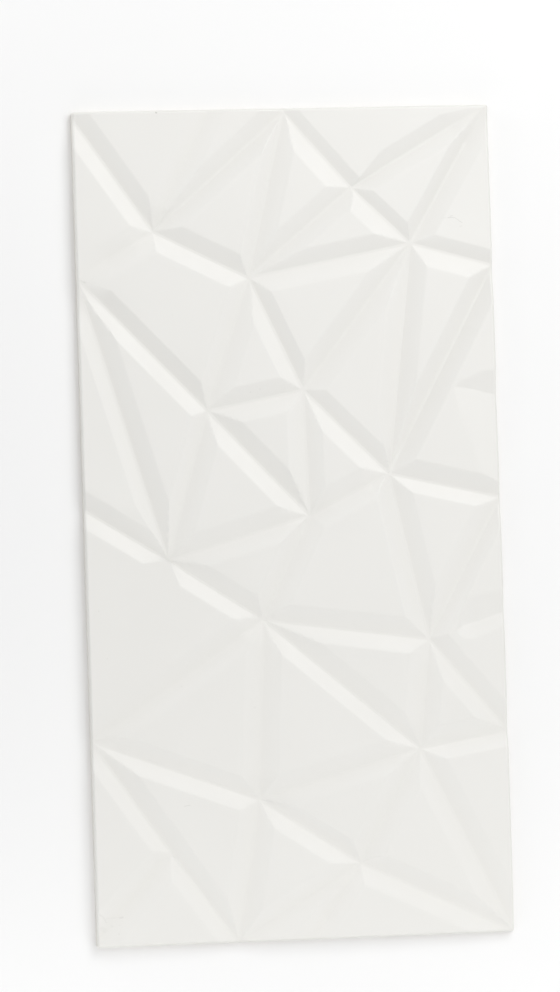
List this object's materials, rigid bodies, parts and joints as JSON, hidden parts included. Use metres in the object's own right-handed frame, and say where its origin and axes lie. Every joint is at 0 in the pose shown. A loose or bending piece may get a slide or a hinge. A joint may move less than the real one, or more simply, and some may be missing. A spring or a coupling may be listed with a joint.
{
  "type": "ceramic wall tile",
  "caption": "Rectangular white glazed ceramic wall tile with a faceted relief of flat triangular planes between shallow valleys, bonded to a wall by its flat back.",
  "frame": {"origin": "centre of the flat back face", "axes": "+Z out of the glazed face, +Y along the long side towards the tile's top edge, +X to the right seen from the front"},
  "size_m": [0.308, 0.608, 0.01],
  "materials": {
    "glaze": "warm white satin glaze over a pressed ceramic body"
  },
  "bodies": {
    "root": {"tile": "glaze"}
  },
  "joints": []
}
